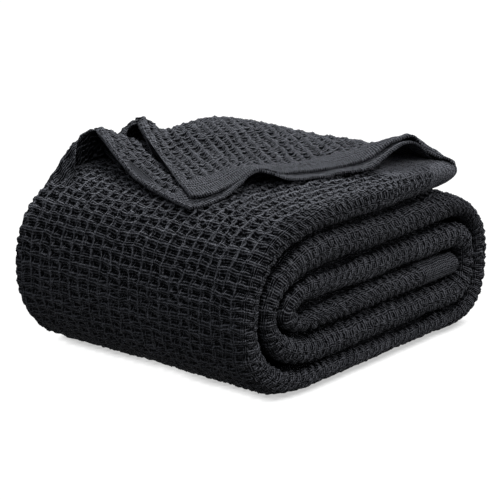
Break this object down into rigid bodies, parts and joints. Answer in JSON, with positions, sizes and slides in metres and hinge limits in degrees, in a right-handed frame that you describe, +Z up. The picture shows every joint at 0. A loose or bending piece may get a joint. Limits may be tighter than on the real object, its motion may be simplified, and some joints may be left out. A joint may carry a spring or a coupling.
{
  "type": "waffle weave cotton blanket",
  "caption": "Charcoal waffle weave cotton blanket, folded to a strip and rolled flat, with the loose corner of its end laid back over the top.",
  "frame": {"origin": "centre of the bounding box on the plane that the bundle rests on", "axes": "+X across the end face towards the free end, +Y along the axis of the roll away from the end face that shows, +Z up"},
  "size_m": [0.3794, 0.286, 0.1972],
  "materials": {
    "cotton": "matte waffle weave"
  },
  "bodies": {
    "root": {"blanket": "cotton"}
  },
  "joints": []
}
